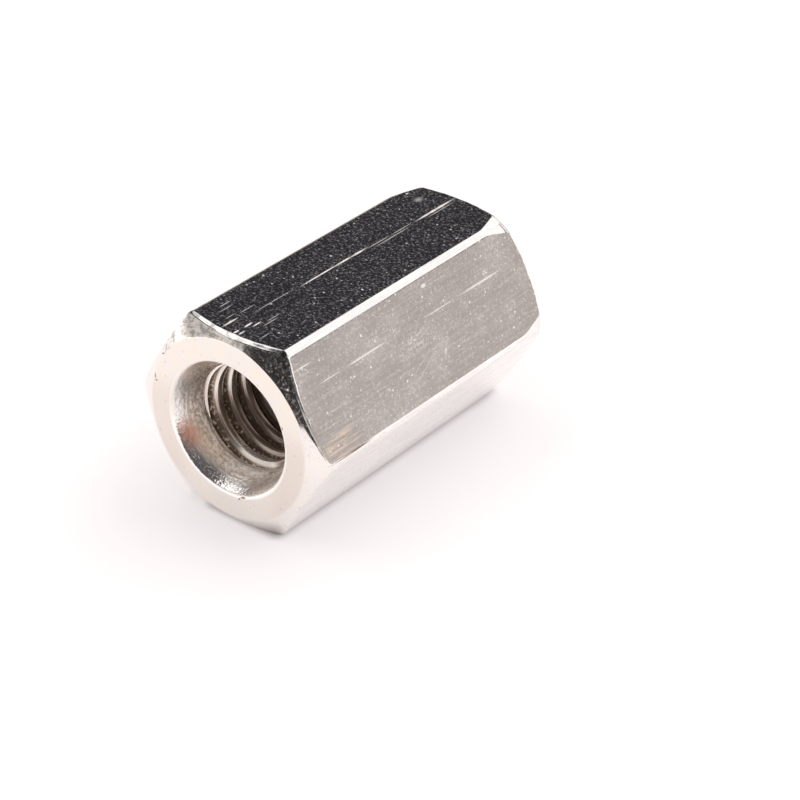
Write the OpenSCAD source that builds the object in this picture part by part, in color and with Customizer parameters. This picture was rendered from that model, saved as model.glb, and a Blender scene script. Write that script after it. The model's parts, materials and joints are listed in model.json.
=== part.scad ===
// Female hex standoff turned from hexagonal bar, lying on one of its flats.
// Its axis runs along Y, and the origin is the middle of the flat that it rests on.
// Each end has a flat ring, a turned chamfer and a flared mouth to the bore. Before the far
// chamfer the lathe has also tapered the long edges.

/* [Bar] */
// Width across the flats of the hexagonal bar, in mm
across_flats = 10; // [9.5:0.5:13]
// Length over both end faces, in mm
standoff_length = 18; // [10:1:30]
// Radius along the six long edges of the drawn bar, in mm
bar_edge_radius = 0.4; // [0.1:0.05:0.6]

/* [Turned ends] */
// Diameter over the flat ring on each end, to where it would meet the chamfer sharp, in mm
end_ring_diameter = 9.2; // [8.4:0.1:9.6]
// Angle between the turned chamfer and the end face, in degrees
end_chamfer_angle = 30; // [15:5:45]
// Radius that softens the edge between the ring and the chamfer, in mm
ring_edge_radius = 0.3; // [0.1:0.1:0.5]

/* [Far edge taper] */
// Length along the bar over which the taper cuts the long edges, in mm
taper_length = 1.9; // [1:0.1:3]
// How deep the taper has cut the long edges where it meets the far chamfer, in mm
taper_depth = 0.25; // [0.1:0.05:0.4]

/* [Threaded bore] */
// Nominal diameter of the thread, in mm
thread_diameter = 6; // [4:0.5:6]
// Pitch of the thread, in mm: the bore is drilled one pitch under the nominal diameter
thread_pitch = 1; // [0.5:0.05:1.25]

/* [Flared mouths] */
// Diameter at which the mouth's wall would meet the end face sharp, in mm
mouth_diameter = 6.9; // [6.4:0.1:7.2]
// Depth of the mouth, from the end face to the parallel bore, in mm
mouth_depth = 2.15; // [1.6:0.05:2.4]
// Radius of the mouth's bell curve, in mm
bell_radius = 7; // [5:0.5:20]
// Radius of the rounded lip between the mouth and the ring, in mm
lip_radius = 0.25; // [0.1:0.05:0.3]

/* [Hidden] */

flat_distance = across_flats / 2;
ring_radius = end_ring_diameter / 2;
bore_radius = (thread_diameter - thread_pitch) / 2;

// Each long edge is an arc about a centre on the ray through that corner of the hexagon
edge_centre_distance = (flat_distance - bar_edge_radius) / cos(30);
edge_distance = edge_centre_distance + bar_edge_radius;

// The turning blank clears the corners of the bar, so only its chamfers cut
blank_radius = across_flats / sqrt(3) + 1;
chamfer_length = (blank_radius - ring_radius) * tan(end_chamfer_angle);
chamfer_direction = [cos(end_chamfer_angle), sin(end_chamfer_angle)];

// The taper runs from the far chamfer out to the long edges, and on past them
taper_foot_radius = edge_distance - taper_depth;
taper_foot = [taper_foot_radius, (taper_foot_radius - ring_radius) * tan(end_chamfer_angle)];
taper_top = taper_foot + [taper_depth, taper_length];
taper_end = taper_top + 0.1 * (taper_top - taper_foot);

// The bell curve is an arc from the rim to the start of the parallel bore.
// Its centre lies in the metal, square to the middle of the chord between the two.
rim_point = [mouth_diameter / 2, 0];
bore_point = [bore_radius, mouth_depth];
bell_chord = bore_point - rim_point;
bell_square_to_chord = [bell_chord.y, -bell_chord.x] / norm(bell_chord);
bell_centre_offset = sqrt(pow(bell_radius, 2) - pow(norm(bell_chord) / 2, 2));
bell_centre = (rim_point + bore_point) / 2 + bell_centre_offset * bell_square_to_chord;
bell_start_angle = angle_of(rim_point - bell_centre);
bell_end_angle = angle_of(bore_point - bell_centre);
bell_steps = 12;

// How far the cutters run past the surfaces that they leave
overrun = 0.5;

// Direction of a vector in degrees, from 0 to 360
function angle_of(vector) = (atan2(vector.y, vector.x) + 360) % 360;

// Points of the arc that rounds a corner between the direction it came and the one it goes
function rounded_corner(corner, came, goes, radius, steps = 6) =
    let (turn = acos(came * goes))
    let (square = sign(cross(came, goes)) * [-came.y, came.x])
    let (start = corner - radius * tan(turn / 2) * came)
    [
        for (i = [0 : steps])
            let (part = turn * i / steps)
            start + radius * (sin(part) * came + (1 - cos(part)) * square)
    ];

// Point of the bell curve, where step 0 is the rim and bell_steps is the start of the bore
function bell_point(step) =
    let (angle = bell_start_angle + (bell_end_angle - bell_start_angle) * step / bell_steps)
    bell_centre + bell_radius * [cos(angle), sin(angle)];

// The same points on the other end of the standoff, in reverse
function on_far_end(points) =
    [for (i = [len(points) - 1 : -1 : 0]) [points[i].x, standoff_length - points[i].y]];

// Section of the drawn bar: straight flats that run into round edges, one flat facing +Y
module bar_section() {
    hull()
        for (corner = [0 : 5])
            rotate(corner * 60)
                translate([edge_centre_distance, 0])
                    circle(r = bar_edge_radius, $fn = 48);
}

// The shape that the lathe leaves: a cylinder with a wide chamfer at each end, and the taper
// before the far one. Where it meets the flats of the bar it draws their curved ends.
module turned_blank() {
    face_outline = concat(
        [[0, 0]],
        rounded_corner([ring_radius, 0], [1, 0], chamfer_direction, ring_edge_radius)
    );
    near_outline = concat(face_outline, [[blank_radius, chamfer_length]]);
    far_outline = concat(
        face_outline,
        [taper_foot],
        [taper_end],
        [[blank_radius, taper_end.y]]
    );
    rotate_extrude($fn = 180)
        polygon(concat(near_outline, on_far_end(far_outline)));
}

// Flared mouth on the end face z = 0: its lip turns from the face into the bell curve,
// which narrows until it is inside the bore. The lip's first leg runs on past the face.
module mouth() {
    lip = rounded_corner(
        rim_point,
        [-1, 0],
        (bell_point(1) - rim_point) / norm(bell_point(1) - rim_point),
        lip_radius
    );
    past_face = lip[0] + 2 * (lip[0] - lip[1]);
    bell = [for (step = [1 : bell_steps + 2]) bell_point(step)];
    rotate_extrude($fn = 120)
        polygon(concat(
            [[0, past_face.y]],
            [past_face],
            [for (i = [1 : len(lip) - 1]) lip[i]],
            bell,
            [[0, bell[len(bell) - 1].y]]
        ));
}

// What the drill and the countersink take out
module bore() {
    translate([0, 0, -overrun])
        cylinder(r = bore_radius, h = standoff_length + 2 * overrun, $fn = 120);
    mouth();
    translate([0, 0, standoff_length]) mirror([0, 0, 1]) mouth();
}

module standoff() {
    color([0.84, 0.82, 0.79])
        translate([0, standoff_length / 2, flat_distance])
            rotate([90, 0, 0])
                difference() {
                    intersection() {
                        linear_extrude(standoff_length) bar_section();
                        turned_blank();
                    }
                    bore();
                }
}

standoff();
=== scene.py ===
"""Looks of a plated hex standoff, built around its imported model.

The standoff is one closed surface: a drawn hexagonal bar with turned ends, flared mouths and
a tapped bore. It replaces the plain CAD node in the same place and to the same sizes, with
slightly rounder edges and the thread added.
"""

import json
import math
from functools import reduce
from types import SimpleNamespace

import bpy
import numpy as np
from bpy.props import FloatProperty, FloatVectorProperty, PointerProperty
from mathutils import Matrix, Vector


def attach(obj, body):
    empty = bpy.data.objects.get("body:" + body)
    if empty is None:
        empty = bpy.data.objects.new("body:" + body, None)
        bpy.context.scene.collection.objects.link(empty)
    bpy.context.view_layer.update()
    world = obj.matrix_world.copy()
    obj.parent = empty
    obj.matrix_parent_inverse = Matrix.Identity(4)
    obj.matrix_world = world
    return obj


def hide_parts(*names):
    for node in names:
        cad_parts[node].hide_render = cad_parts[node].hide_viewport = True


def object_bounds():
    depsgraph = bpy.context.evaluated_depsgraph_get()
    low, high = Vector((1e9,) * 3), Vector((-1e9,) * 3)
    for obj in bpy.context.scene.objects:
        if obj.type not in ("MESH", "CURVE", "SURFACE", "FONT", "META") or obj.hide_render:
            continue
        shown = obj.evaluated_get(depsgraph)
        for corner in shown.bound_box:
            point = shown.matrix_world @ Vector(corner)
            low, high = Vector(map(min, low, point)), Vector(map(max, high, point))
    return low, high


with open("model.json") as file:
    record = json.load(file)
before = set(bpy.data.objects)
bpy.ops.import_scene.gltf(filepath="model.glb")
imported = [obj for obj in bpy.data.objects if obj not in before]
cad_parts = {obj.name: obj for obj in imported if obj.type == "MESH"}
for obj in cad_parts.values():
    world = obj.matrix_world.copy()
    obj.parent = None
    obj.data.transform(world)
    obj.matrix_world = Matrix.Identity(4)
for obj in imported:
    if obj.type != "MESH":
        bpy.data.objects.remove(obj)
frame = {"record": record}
CAD_LOW, CAD_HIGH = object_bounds()
BORE_MOUNT = next(m for m in frame["record"]["mounts"] if m["name"] == "near_thread")["dims"]

bl_info = {
    "name": "Hex standoff looks",
    "version": (1, 0, 0),
    "blender": (4, 5, 0),
    "location": "3D View > Sidebar > Standoff",
    "description": "Builds a plated, tapped hex standoff and the studio that it is shown in",
    "category": "Object",
}

MM = 0.001
MICRON = 0.001 * MM
SIDES = 6
SECTOR = math.tau / SIDES

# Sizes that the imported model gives
BAR_LENGTH = CAD_HIGH.y - CAD_LOW.y
FLAT_DISTANCE = (CAD_HIGH.z - CAD_LOW.z) / 2
BORE_RADIUS = BORE_MOUNT["r_mm"] * MM
MOUTH_DEPTH = (BAR_LENGTH - BORE_MOUNT["length_mm"] * MM) / 2

# Angles round the bore axis, from +X up towards +Z, of the two flats that carry marks
TOP_FLAT = math.radians(90)
RIGHT_FLAT = math.radians(30)

# How finely the surface is divided: columns on each long edge and each half flat, and rows
EDGE_COLUMNS = 9
HALF_FLAT_COLUMNS = 19
ARC_ROWS = 7
CREASE_ROWS = 11
WALL_ROWS = 14
FACE_ROWS = 5
TAPER_ROWS = 9
SIDE_ROWS = 6

# Rows of half a pitch, as parts of a pitch from the crest, close together at the tooth's corners
TOOTH_ROWS = (0.09, 0.14, 0.175, 0.21, 0.3, 0.4, 0.4375)

# Points this close beside an edge hold the shading of the face next to it
HOLD = 0.02 * MM
# Rows of the bore stop this far before the end profiles
ROW_CLEARANCE = 0.015 * MM
# Depth from which the wall's direction at the lip is taken
LIP_DEPTH = 0.1 * MM
# Depth at which the taper has run out
TAPER_CLEAR = 2.6 * MM

# Angle between a flank of the thread and the plane square to the bore
FLANK_ANGLE = math.radians(30)

# Edges that turn by more than this are shaded sharp
SHARP_ANGLE = math.radians(32)

# Half the depth in millimetres of a mark that has no depth of its own
THROUGH = 1000


# ---------------------------------------------------------------- settings


class StandoffSizes(bpy.types.PropertyGroup):
    """Sizes of the forms that the bar, the lathe and the tap leave"""

    edge_radius: FloatProperty(
        name="Edge radius",
        description="Radius along the six long edges of the drawn bar",
        default=0.52 * MM,
        unit="LENGTH",
    )
    ring_radius: FloatProperty(
        name="End ring radius",
        description="Outer radius of the flat ring on each end",
        default=4.6 * MM,
        unit="LENGTH",
    )
    chamfer_angle: FloatProperty(
        name="Chamfer angle",
        description="Angle between the turned chamfer and the end face",
        default=math.radians(30),
        subtype="ANGLE",
    )
    taper_length: FloatProperty(
        name="Taper length",
        description="Length along the bar over which the taper cuts the long edges at the far end",
        default=1.9 * MM,
        unit="LENGTH",
    )
    taper_depth: FloatProperty(
        name="Taper depth",
        description="How deep the taper has cut the long edges where it meets the far chamfer",
        default=0.25 * MM,
        unit="LENGTH",
    )
    mouth_radius: FloatProperty(
        name="Mouth radius",
        description="Radius of the mouth on the end face",
        default=3.45 * MM,
        unit="LENGTH",
    )
    mouth_bow: FloatProperty(
        name="Mouth bow",
        description="How far the mouth's wall swells into the bore between its rim and its foot",
        default=0.1 * MM,
        unit="LENGTH",
    )
    wall_depth: FloatProperty(
        name="Wall depth",
        description="Depth at which the mouth's wall ends and the thread's grooves start",
        default=1.65 * MM,
        unit="LENGTH",
    )
    land_width: FloatProperty(
        name="Land width",
        description="Width of the parallel land between the mouth's wall and the first groove",
        default=0.2 * MM,
        unit="LENGTH",
    )
    ring_break: FloatProperty(
        name="Ring edge radius",
        description="Radius between the flat ring and the chamfer",
        default=0.3 * MM,
        unit="LENGTH",
    )
    crease_break: FloatProperty(
        name="Chamfer edge radius",
        description="Radius between the chamfer and the flats, at its widest",
        default=0.45 * MM,
        unit="LENGTH",
    )
    lip_break: FloatProperty(
        name="Lip radius",
        description="Radius of the mouth's lip",
        default=0.25 * MM,
        unit="LENGTH",
    )
    thread_pitch: FloatProperty(
        name="Thread pitch",
        description="Distance that the right-hand thread moves along in one turn",
        default=1.0 * MM,
        unit="LENGTH",
    )
    groove_radius: FloatProperty(
        name="Groove radius",
        description="Radius at the bottom of the thread's groove",
        default=3.0 * MM,
        unit="LENGTH",
    )
    crest_bow: FloatProperty(
        name="Crest bow",
        description="How much lower a crest of the thread is at its edges",
        default=0.045 * MM,
        unit="LENGTH",
    )
    thread_start: FloatProperty(
        name="Thread start",
        description="Place along the bore where a crest passes the +X side",
        default=-0.03 * MM,
        unit="LENGTH",
    )


class StandoffFinish(bpy.types.PropertyGroup):
    """Colours and gloss of the plating and of what shows through it"""

    plate_colour: FloatVectorProperty(
        name="Plate colour",
        description="Colour of the bright nickel plate",
        default=(0.90, 0.875, 0.85),
        subtype="COLOR",
        min=0,
        max=1,
    )
    plate_roughness: FloatProperty(
        name="Plate roughness",
        description="Roughness of the drawn flats under the plate",
        default=0.12,
        subtype="FACTOR",
        min=0,
        max=1,
    )
    mouth_colour: FloatVectorProperty(
        name="Mouth colour",
        description="Colour of the thinner plate in the mouths",
        default=(0.58, 0.47, 0.385),
        subtype="COLOR",
        min=0,
        max=1,
    )
    mouth_roughness: FloatProperty(
        name="Mouth roughness",
        description="Roughness of the countersunk walls of the mouths",
        default=0.3,
        subtype="FACTOR",
        min=0,
        max=1,
    )
    thread_colour: FloatVectorProperty(
        name="Thread colour",
        description="Colour of the thread's flanks and grooves, where little plate has settled",
        default=(0.22, 0.155, 0.11),
        subtype="COLOR",
        min=0,
        max=1,
    )
    brass_colour: FloatVectorProperty(
        name="Brass colour",
        description="Colour of the brass that shows where the plate is worn thin",
        default=(0.93, 0.74, 0.56),
        subtype="COLOR",
        min=0,
        max=1,
    )
    stain_colour: FloatVectorProperty(
        name="Stain colour",
        description="Colour of the reddish stain in the near mouth",
        default=(0.88, 0.46, 0.33),
        subtype="COLOR",
        min=0,
        max=1,
    )


class StandoffStudio(bpy.types.PropertyGroup):
    """Light, floor and camera that the standoff is shown with"""

    floor_colour: FloatVectorProperty(
        name="Floor colour",
        description="Colour of the floor, which sets how dark the shadow is",
        default=(0.62, 0.595, 0.60),
        subtype="COLOR",
        min=0,
        max=1,
    )
    floor_glow: FloatProperty(
        name="Floor glow",
        description="White that the floor adds for the camera and in the metal",
        default=0.425,
        subtype="FACTOR",
        min=0,
        max=1,
    )
    key_radiance: FloatProperty(
        name="Key light",
        description="Brightness of the large softbox behind on the right",
        default=1.12,
    )
    fill_radiance: FloatProperty(
        name="Fill light",
        description="Brightness of the softbox on the left",
        default=1.3,
    )
    focal_length: FloatProperty(
        name="Focal length",
        description="Focal length of the camera's lens",
        default=118.09,
        unit="CAMERA",
    )
    camera_azimuth: FloatProperty(
        name="Camera azimuth",
        description="How far the camera is turned to the right of the near end face",
        default=math.radians(36.065),
        subtype="ANGLE",
    )
    camera_elevation: FloatProperty(
        name="Camera elevation",
        description="How far the camera looks down",
        default=math.radians(32.352),
        subtype="ANGLE",
    )
    camera_roll: FloatProperty(
        name="Camera roll",
        description="How far the camera is tilted about its own axis",
        default=math.radians(2.749),
        subtype="ANGLE",
    )
    camera_distance: FloatProperty(
        name="Camera distance",
        description="Distance from the camera to the point that it looks at",
        default=126.98 * MM,
        unit="LENGTH",
    )
    camera_aim: FloatVectorProperty(
        name="Camera aim",
        description="How far right of and above the standoff's middle the camera looks",
        default=(2.49 * MM, -2.26 * MM),
        size=2,
        unit="LENGTH",
    )


# ---------------------------------------------------------------- the section of the bar


def edge_centre(sizes):
    """Distance from the axis to the centre of a long edge's arc."""
    return (FLAT_DISTANCE - sizes.edge_radius) / math.cos(SECTOR / 2)


def edge_reach(sizes):
    """Angle from a corner of the hexagon to where its arc runs into the flat."""
    return math.atan2(
        sizes.edge_radius * math.sin(SECTOR / 2),
        edge_centre(sizes) + sizes.edge_radius * math.cos(SECTOR / 2),
    )


def section_angles(sizes):
    """Angles of the mesh's columns, from the middle of the flat below once round.

    Each corner of the hexagon takes the same set. On its arc the angle follows the normal,
    which turns evenly by 60 degrees. On the flats the angle itself is even, with one close
    column beside each end of the arc to hold the flat's shading.
    """
    centre = edge_centre(sizes)
    normal = np.linspace(-SECTOR / 2, SECTOR / 2, EDGE_COLUMNS)
    arc = np.arctan2(
        sizes.edge_radius * np.sin(normal), centre + sizes.edge_radius * np.cos(normal)
    )
    beside = arc[-1] + 1.5 * HOLD / centre
    flat = np.linspace(beside, SECTOR / 2, HALF_FLAT_COLUMNS)
    half = np.concatenate([-flat[::-1], arc, flat[:-1]])
    corners = np.arange(SIDES) * SECTOR - SECTOR
    return (corners[:, None] + half).ravel()


def off_corner(angles):
    """Signed angle from the nearest corner of the hexagon."""
    return (angles + SECTOR / 2) % SECTOR - SECTOR / 2


def section_radius(angles, sizes):
    """Distance from the axis to the bar's surface at each angle.

    On a flat it is the flat's distance over the cosine of the angle from the flat's middle.
    On a long edge it is where the ray from the axis leaves the circle of the edge.
    """
    centre = edge_centre(sizes)
    off = np.abs(off_corner(angles))
    on_flat = FLAT_DISTANCE / np.cos(SECTOR / 2 - off)
    inside = np.maximum(sizes.edge_radius**2 - (centre * np.sin(off)) ** 2, 0)
    on_edge = centre * np.cos(off) + np.sqrt(inside)
    return np.where(off < edge_reach(sizes), on_edge, on_flat)


# ---------------------------------------------------------------- the far edge taper


def taper_radius(depth, sizes):
    """Radius of the lathe's taper at a depth below the far end face, and none above its foot.

    It grows evenly with depth from its foot on the chamfer, and passes the tops of the long
    edges a taper's length further on.
    """
    top = edge_centre(sizes) + sizes.edge_radius
    foot = top - sizes.taper_depth
    foot_depth = (foot - sizes.ring_radius) * math.tan(sizes.chamfer_angle)
    growth = sizes.taper_depth / sizes.taper_length
    return foot + growth * np.maximum(depth - foot_depth, 0)


def spread_angles(angles, limit, sizes):
    """Column angles moved so that the last columns of each arc lie where the taper cuts the flat.

    The section reaches a limiting radius where the flat's distance is that radius times the
    cosine of the angle from the flat's middle. The arc's columns are scaled out to there from
    the corner, and the flat's columns are scaled to fill the rest.
    """
    reach = edge_reach(sizes)
    off = off_corner(angles)
    cut = SECTOR / 2 - np.arccos(np.clip(FLAT_DISTANCE / limit, 0, 1))
    cut = np.maximum(cut, reach)
    on_edge = np.abs(off) * cut / reach
    on_flat = cut + (np.abs(off) - reach) * (SECTOR / 2 - cut) / (SECTOR / 2 - reach)
    moved = np.where(np.abs(off) <= reach, on_edge, on_flat)
    return angles - off + np.sign(off) * moved


# ---------------------------------------------------------------- the turned end


def rounded(corner, came, goes, radius, steps):
    """Points of the arc that rounds a corner, from the direction it came to the one it goes.

    The arc touches both legs at radius times the tangent of half the turn from the corner,
    and its centre lies square to the first leg, on the side that the second one turns to.
    """
    came, goes = np.array(came), np.array(goes)
    turn = math.acos(np.clip(came @ goes, -1, 1))
    side = np.sign(came[0] * goes[1] - came[1] * goes[0])
    square = side * np.array([-came[1], came[0]])
    start = corner - radius * math.tan(turn / 2) * came
    part = np.linspace(0, turn, steps)[:, None, None]
    return start + radius * (np.sin(part) * came + (1 - np.cos(part)) * square)


def between(first, last, steps):
    """Points that divide the way from first to last evenly, without its two ends."""
    part = np.linspace(0, 1, steps + 2)[1:-1, None, None]
    return first + part * (last - first)


def mouth_wall(depth, sizes):
    """Radius of the mouth's wall at a depth below the end face, down to the drilled bore.

    It falls evenly from the rim to the bore, less a parabola that is zero at both.
    """
    part = np.clip(depth / MOUTH_DEPTH, 0, 1)
    straight = sizes.mouth_radius + (BORE_RADIUS - sizes.mouth_radius) * part
    return straight - 4 * sizes.mouth_bow * part * (1 - part)


def crease_radius(angles, sizes):
    """Radius between chamfer and flat at each angle: three waves make it slightly uneven."""
    waves = (
        0.5 * np.sin(2 * angles + 0.4) + 0.3 * np.sin(17 * angles) + 0.2 * np.sin(41 * angles + 1)
    )
    return sizes.crease_break * (0.8 + 0.2 * waves)


def end_profile(angles, bar_radius, sizes):
    """Radius and depth of one end, from the last ring of the thread out to the bar's side.

    The profile is a chain of legs in the half plane of each column: a parallel land, the
    mouth's wall, the flat ring, the chamfer and the side, with an arc at each of the three
    outer corners. The first row lies just behind the land, where the grooves start.
    """
    slant = (math.cos(sizes.chamfer_angle), math.sin(sizes.chamfer_angle))
    lip = np.zeros((1, len(angles), 2)) + [sizes.mouth_radius, 0]
    ring = np.zeros((1, len(angles), 2)) + [sizes.ring_radius, 0]
    crease = np.stack(
        [bar_radius, (bar_radius - sizes.ring_radius) * math.tan(sizes.chamfer_angle)], -1
    )[None]

    near_lip = np.array([mouth_wall(LIP_DEPTH, sizes), LIP_DEPTH])
    climb = np.array([sizes.mouth_radius, 0]) - near_lip
    climb /= np.linalg.norm(climb)
    lip_arc = rounded(lip, climb, (1, 0), sizes.lip_break, ARC_ROWS)
    ring_arc = rounded(ring, (1, 0), slant, sizes.ring_break, ARC_ROWS)
    crease_break = crease_radius(angles, sizes)[:, None]
    crease_arc = rounded(crease, slant, (0, 1), crease_break, CREASE_ROWS)

    land_start = sizes.wall_depth - sizes.land_width
    land_radius = mouth_wall(land_start, sizes)
    land = [
        (land_radius + HOLD, sizes.wall_depth + HOLD),
        (land_radius + HOLD / 2, sizes.wall_depth),
        (land_radius, sizes.wall_depth - HOLD),
        (land_radius, land_start + 2 * HOLD),
    ]
    depth = np.linspace(land_start - HOLD, lip_arc[0, 0, 1], WALL_ROWS)[:-1]
    wall = np.concatenate([land, np.stack([mouth_wall(depth, sizes), depth], -1)])
    wall = np.broadcast_to(wall[:, None], (len(wall), len(angles), 2))

    middle = np.stack([bar_radius, np.full_like(bar_radius, BAR_LENGTH / 2)], -1)[None]
    taper_end = np.stack([bar_radius, np.full_like(bar_radius, TAPER_CLEAR)], -1)[None]
    side = crease_arc[-1:] + [0, 2 * HOLD]
    return {
        "mouth": wall,
        "lip": lip_arc,
        "ring": between(lip_arc[-1:], ring_arc[:1], FACE_ROWS),
        "ring_edge": ring_arc,
        "chamfer": between(ring_arc[-1:], crease_arc[:1], FACE_ROWS),
        "crease": crease_arc,
        "side": np.concatenate(
            [
                side,
                between(side, taper_end, TAPER_ROWS),
                taper_end,
                between(taper_end, middle, SIDE_ROWS),
            ]
        ),
    }


def far_profile(angles, sizes):
    """Angles, radius and depth of the far end, whose long edges the taper has cut.

    From the chamfer on, each point takes the lesser of the section's and the taper's radius,
    and its column moves with the taper's cut.
    """
    foot = taper_radius(0, sizes)
    crease_angles = spread_angles(angles, foot, sizes)
    crease = np.minimum(section_radius(crease_angles, sizes), foot)
    parts = end_profile(angles, crease, sizes)
    turns = {name: np.broadcast_to(angles, part.shape[:2]) for name, part in parts.items()}
    for name in ("chamfer", "crease"):
        turns[name] = np.broadcast_to(crease_angles, parts[name].shape[:2])
    limit = taper_radius(parts["side"][..., 1], sizes)
    turns["side"] = spread_angles(angles, limit, sizes)
    parts["side"][..., 0] = np.minimum(section_radius(turns["side"], sizes), limit)
    return np.concatenate(list(turns.values())), np.concatenate(list(parts.values()))


# ---------------------------------------------------------------- the tapped bore


def bore_radius(along, angles, sizes):
    """Radius inside the bore at a place along it and an angle round it.

    The tap's tooth is a trapezium that moves one pitch along in a turn, right-handed. It
    leaves flanks at 60 degrees to each other and a narrow flat root. Between the flanks stays
    a crest, which starts at the drilled radius and falls away with the square of the distance.
    Where the mouth is wider than the tooth reaches, the mouth's wall stays. The second result
    is how far the tooth reaches past that wall.
    """
    turns = (along - sizes.thread_start) / sizes.thread_pitch + angles / math.tau
    off_crest = np.abs(turns - np.round(turns)) * sizes.thread_pitch
    reach = sizes.groove_radius - BORE_RADIUS
    half_root = sizes.thread_pitch / 16
    flank = (reach - sizes.crest_bow) * math.tan(FLANK_ANGLE)
    half_crest = sizes.thread_pitch / 2 - half_root - flank
    crest = np.minimum(off_crest / half_crest, 1) ** 2 * sizes.crest_bow
    depth = crest + np.maximum(off_crest - half_crest, 0) / math.tan(FLANK_ANGLE)
    tooth = BORE_RADIUS + np.minimum(depth, reach)
    wall = mouth_wall(BAR_LENGTH / 2 - np.abs(along), sizes)
    return np.maximum(tooth, wall), tooth - wall


def bore_rows(angles, end, sizes):
    """Places along the bore of its rows, a column for each angle, and the rows in one pitch.

    A row follows the thread's helix, so the crests and roots run along rows. The offsets in
    one pitch are close together where the tooth has its corners.
    """
    half = np.array(TOOTH_ROWS)
    offsets = np.concatenate([[0], half, 1 - half[::-1]])
    turns = math.ceil(end / sizes.thread_pitch) + 1
    starts = np.arange(-turns, turns + 1)[:, None] + offsets
    helix = starts.ravel()[:, None] - (angles - angles[0]) / math.tau
    phase = sizes.thread_start - angles[0] / math.tau * sizes.thread_pitch
    return helix * sizes.thread_pitch + phase, len(offsets)


def snapped(along, angles, sizes):
    """Moves the row points next to where a groove runs out in the mouth onto that edge.

    Between two rows where tooth minus wall changes sign, the edge lies where the straight
    line between the two values is zero, and the nearer point moves there.
    """
    over = bore_radius(along, angles, sizes)[1]
    crosses = (over[:-1] > 0) != (over[1:] > 0)
    step = over[1:] - over[:-1]
    part = np.where(crosses, -over[:-1] / np.where(step == 0, 1, step), 0)
    place = along[:-1] + part * (along[1:] - along[:-1])
    first = crosses & (part < 0.5)
    last = crosses & (part >= 0.5)
    along = along.copy()
    along[:-1][first] = place[first]
    along[1:][last] = place[last]
    return along


# ---------------------------------------------------------------- the whole surface


def ring_faces(rows, columns):
    """Corners of the four-sided faces between rows of a tube whose columns close round."""
    row, column = np.meshgrid(np.arange(rows - 1), np.arange(columns), indexing="ij")
    following = (column + 1) % columns
    corners = [
        row * columns + column,
        (row + 1) * columns + column,
        (row + 1) * columns + following,
        row * columns + following,
    ]
    return np.stack(corners, -1).reshape(-1, 4)


def helix_faces(ids, rows_in_pitch):
    """Corners of the faces between helical rows. The last column meets the first one a pitch on."""
    first, last = ids[rows_in_pitch:-1], ids[rows_in_pitch + 1 :]
    follow_first = np.concatenate([first[:, 1:], ids[: -rows_in_pitch - 1, :1]], 1)
    follow_last = np.concatenate([last[:, 1:], ids[1:-rows_in_pitch, :1]], 1)
    return np.stack([first, follow_first, follow_last, last], -1).reshape(-1, 4)


def triangles(faces):
    """Two triangles for each four-sided face, without those that have shrunk to a line."""
    both = np.concatenate([faces[:, [0, 1, 2]], faces[:, [0, 2, 3]]])
    flat = (both[:, 0] == both[:, 1]) | (both[:, 1] == both[:, 2]) | (both[:, 2] == both[:, 0])
    return both[~flat]


def standoff_surface(sizes):
    """Points, triangles and zones of the whole standoff, as one closed surface.

    The outer part is a tube of rings: the near end's profile, then the far end's one in
    reverse. The bore's helical rows close it. Where they run past the thread's ends, their
    points are those of the two end rings, which take the thread's own radius.
    A zone is a number for each point, from 0 to 1: whether the lathe or the tap made it, and
    how deep it is in a groove.
    """
    angles = section_angles(sizes)
    columns = len(angles)
    parts = end_profile(angles, section_radius(angles, sizes), sizes)
    near = np.concatenate(list(parts.values()))
    far_angles, far = far_profile(angles, sizes)
    end = BAR_LENGTH / 2 - near[0, 0, 1]
    radius = np.concatenate([near[..., 0], far[::-1, :, 0]])
    along = np.concatenate([near[..., 1] - BAR_LENGTH / 2, BAR_LENGTH / 2 - far[::-1, :, 1]])
    radius[0] = bore_radius(-end, angles, sizes)[0]
    radius[-1] = bore_radius(end, angles, sizes)[0]

    bore_along, rows_in_pitch = bore_rows(angles, end, sizes)
    bore_along = snapped(bore_along, angles, sizes)
    bore, over = bore_radius(bore_along, angles, sizes)
    free = np.abs(bore_along) < end - ROW_CLEARANCE
    ids = np.full(bore_along.shape, -1)
    ids[free] = radius.size + np.arange(free.sum())
    column = np.broadcast_to(np.arange(columns), ids.shape)
    ids = np.where(free, ids, np.where(bore_along < 0, column, radius.size - columns + column))

    round_angles = np.concatenate([np.broadcast_to(angles, near.shape[:2]), far_angles[::-1]])
    all_angles = np.concatenate([round_angles.ravel(), np.broadcast_to(angles, ids.shape)[free]])
    all_radii = np.concatenate([radius.ravel(), bore[free]])
    all_along = np.concatenate([along.ravel(), bore_along[free]])
    points = np.stack(
        [
            all_radii * np.cos(all_angles),
            all_along,
            all_radii * np.sin(all_angles) + FLAT_DISTANCE,
        ],
        -1,
    )
    faces = np.concatenate([ring_faces(len(radius), columns), helix_faces(ids, rows_in_pitch)])

    turned = {name: float(name != "side") for name in parts}
    turned["crease"] = np.linspace(1, 0, len(parts["crease"]))
    turned = np.concatenate([np.broadcast_to(turned[name], len(parts[name])) for name in parts])
    turned = np.repeat(np.concatenate([turned, turned[::-1]]), columns)
    zones = {"turned": np.concatenate([turned, np.ones(free.sum())])}
    reach = sizes.groove_radius - BORE_RADIUS
    zones["groove"] = np.zeros(len(points))
    zones["groove"][radius.size :] = np.clip(over[free] / reach, 0, 1)
    return points, triangles(faces), zones


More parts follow.
